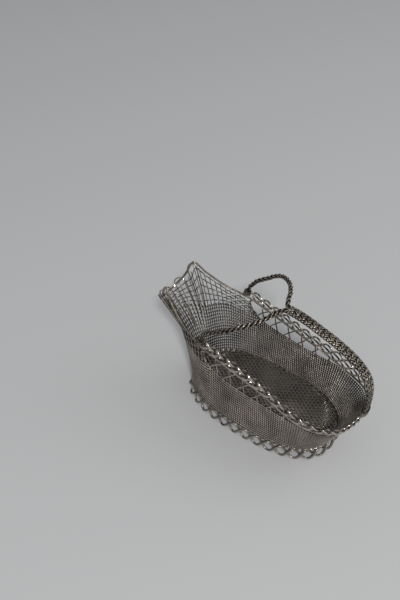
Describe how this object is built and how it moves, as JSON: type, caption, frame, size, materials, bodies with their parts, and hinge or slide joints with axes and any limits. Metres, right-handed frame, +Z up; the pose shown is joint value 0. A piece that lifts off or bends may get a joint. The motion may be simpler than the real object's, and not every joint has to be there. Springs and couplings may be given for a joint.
{
  "type": "wine bottle holder",
  "caption": "Boat-shaped woven wire pouring basket with a scalloped foot, a plaited rim, a swept pouring lip and a rigid wishbone handle.",
  "frame": {"origin": "middle of the bounding box, on the table under the foot", "axes": "+X along the basket to its back, where the grip comes down; -X to the pouring lip; +Z up"},
  "size_m": [0.2646, 0.107, 0.1731],
  "materials": {
    "woven_wire": "aged silver plate, dull in the hollows of the weave",
    "smooth_wire": "aged silver plate, worn bright along the tops",
    "plaited_wire": "aged silver plate, plaited and tarnished between the strands"
  },
  "bodies": {
    "root": {"base_ring": "smooth_wire", "far_aft_stake_1": "smooth_wire", "far_aft_stake_2": "smooth_wire", "far_aft_stake_3": "smooth_wire", "far_aft_stake_4": "smooth_wire", "far_aft_stake_5": "smooth_wire", "far_aft_stake_6": "smooth_wire", "far_aft_stake_7": "smooth_wire", "far_cord": "plaited_wire", "far_cord_binding": "plaited_wire", "far_fore_stake_1": "smooth_wire", "far_fore_stake_2": "smooth_wire", "far_fore_stake_3": "smooth_wire", "far_fore_stake_4": "smooth_wire", "far_fore_stake_5": "smooth_wire", "far_fore_stake_6": "smooth_wire", "far_fore_stake_7": "smooth_wire", "floor_panel": "woven_wire", "foot_wave_1": "smooth_wire", "foot_wave_2": "smooth_wire", "grip": "plaited_wire", "lip_loop_1": "smooth_wire", "lip_loop_2": "smooth_wire", "lip_loop_3": "smooth_wire", "lip_loop_4": "smooth_wire", "lip_loop_5": "smooth_wire", "near_aft_stake_1": "smooth_wire", "near_aft_stake_2": "smooth_wire", "near_aft_stake_3": "smooth_wire", "near_aft_stake_4": "smooth_wire", "near_aft_stake_5": "smooth_wire", "near_aft_stake_6": "smooth_wire", "near_aft_stake_7": "smooth_wire", "near_cord": "plaited_wire", "near_cord_binding": "plaited_wire", "near_fore_stake_1": "smooth_wire", "near_fore_stake_2": "smooth_wire", "near_fore_stake_3": "smooth_wire", "near_fore_stake_4": "smooth_wire", "near_fore_stake_5": "smooth_wire", "near_fore_stake_6": "smooth_wire", "near_fore_stake_7": "smooth_wire", "neck_row_1": "woven_wire", "neck_row_2": "woven_wire", "neck_row_3": "woven_wire", "neck_row_4": "woven_wire", "neck_row_5": "woven_wire", "neck_uprights": "woven_wire", "rim_rod": "smooth_wire", "rim_strand_1": "smooth_wire", "rim_strand_2": "smooth_wire", "rim_strand_3": "smooth_wire", "tail_binding": "plaited_wire", "wall_weave": "woven_wire"}
  },
  "joints": []
}
